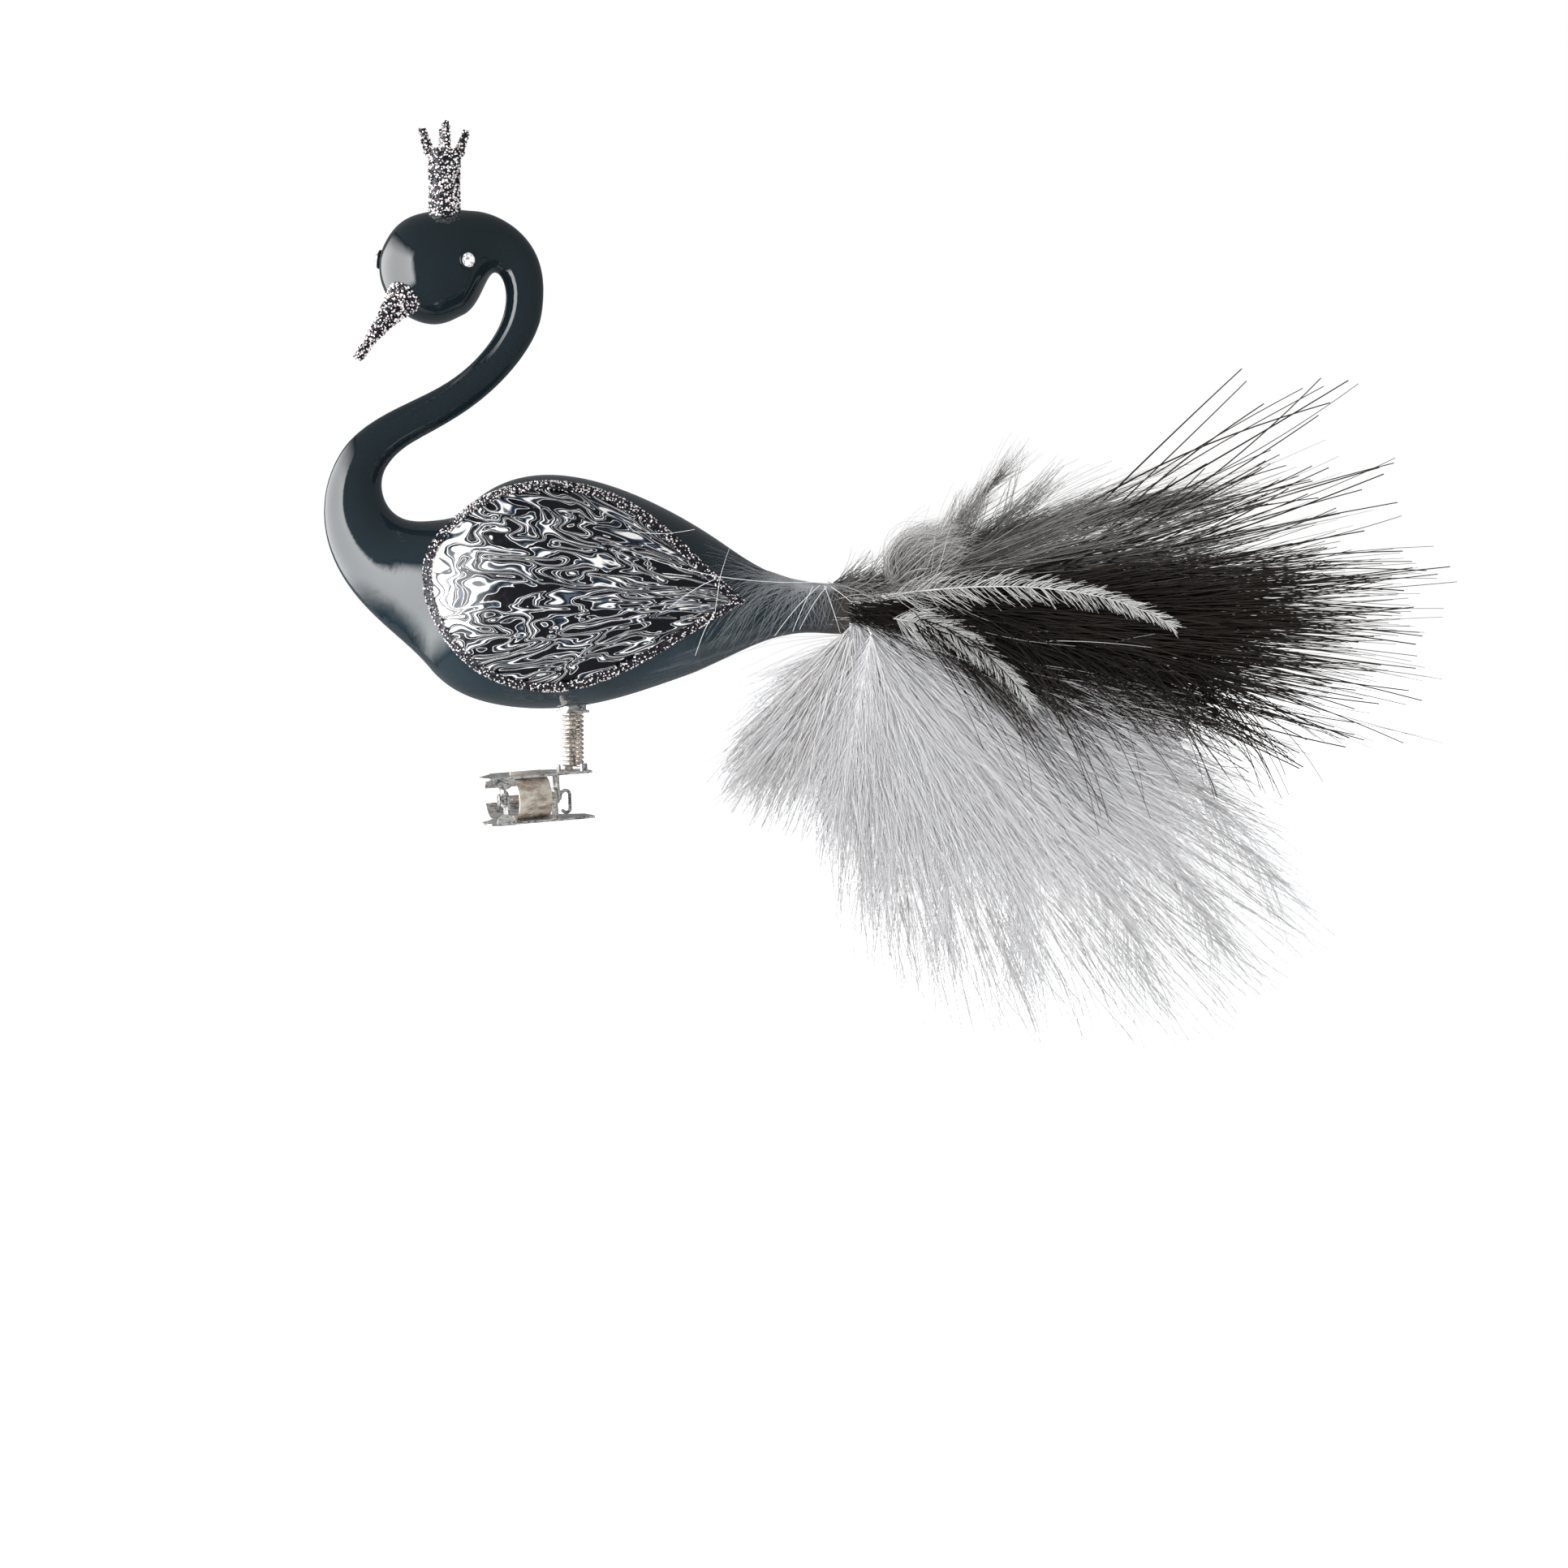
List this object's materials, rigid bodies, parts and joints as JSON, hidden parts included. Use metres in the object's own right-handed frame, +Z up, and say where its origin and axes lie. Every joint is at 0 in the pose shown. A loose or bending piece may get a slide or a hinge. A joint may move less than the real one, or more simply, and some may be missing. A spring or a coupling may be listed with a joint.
{
  "type": "clip-on glass bird ornament",
  "caption": "Blown black glass bird with a glitter crown and beak, marbled wings and a fanned feather tail, standing on a coil spring over a sprung tin clip.",
  "frame": {"origin": "centre of the twig that the clip's jaws hold", "axes": "+Z up; the bird looks towards -X and its tail points towards +X; its left side is -Y"},
  "size_m": [0.2506, 0.0526, 0.2085],
  "materials": {
    "tin": "polished tin plate",
    "spring_strip": "bright strip with a warm tint",
    "coil_wire": "bright plated wire",
    "black_glass": "glossy lacquered blown glass",
    "marbled_paint": "marbled silver, white and black enamel",
    "glitter": "glass glitter and tiny beads",
    "eye_stone": "faceted foil-backed stone",
    "plug": "turned cork",
    "black_feather": "feather barbs",
    "grey_feather": "downy feather",
    "white_feather": "translucent feather"
  },
  "bodies": {
    "clip_upper": {"clip_upper_leaf": "tin", "hinge_pin": "tin", "band_spring": "spring_strip"},
    "clip_lower": {"clip_lower_leaf": "tin"},
    "coil": {"coil_spring": "coil_wire"},
    "seat": {"belly_cap": "tin"},
    "bird": {"glass_body": "black_glass", "wing_left": "marbled_paint", "wing_right": "marbled_paint", "wing_trim_left": "glitter", "wing_trim_right": "glitter", "crown": "glitter", "beak": "glitter", "eye_left": "eye_stone", "eye_right": "eye_stone", "tail_plug": "plug", "black_plume_1": "black_feather", "black_plume_2": "black_feather", "black_plume_3": "black_feather", "black_plume_4": "black_feather", "black_plume_5": "black_feather", "black_plume_6": "black_feather", "black_plume_7": "black_feather", "black_plume_8": "black_feather", "grey_plume_1": "grey_feather", "grey_plume_2": "grey_feather", "grey_plume_3": "grey_feather", "grey_plume_4": "grey_feather", "white_plume_1": "white_feather", "white_plume_2": "white_feather", "white_plume_3": "white_feather", "white_plume_4": "white_feather", "white_plume_5": "white_feather", "white_plume_6": "white_feather", "white_plume_7": "white_feather", "white_plume_8": "white_feather"}
  },
  "joints": [
    {"name": "jaw_open", "type": "hinge", "parent": "clip_upper", "child": "clip_lower", "pos_m": [0.00359, -0.00987, 0], "axis": [0.938, 0.3414, 0.0593], "range_deg": [-11, 12], "stiffness_Nm_per_rad": 0.4, "springref_deg": 0.01, "deforming": ["band_spring"]},
    {"name": "nod", "type": "hinge", "parent": "clip_upper", "child": "coil", "pos_m": [0.01282, -0.00491, 0.0095], "axis": [0, 1, 0], "range_deg": [-12, 12], "stiffness_Nm_per_rad": 0.06, "springref_deg": 0.28, "deforming": ["coil_spring"]},
    {"name": "sway", "type": "hinge", "parent": "coil", "child": "seat", "pos_m": [0.01282, -0.00491, 0.0163], "axis": [1, 0, 0], "range_deg": [-12, 12], "stiffness_Nm_per_rad": 0.06, "springref_deg": -0.08, "deforming": ["coil_spring"]},
    {"name": "twist", "type": "hinge", "parent": "seat", "child": "bird", "pos_m": [0.01282, -0.00491, 0.02], "axis": [0, 0, 1], "range_deg": [-20, 20], "stiffness_Nm_per_rad": 0.03}
  ]
}
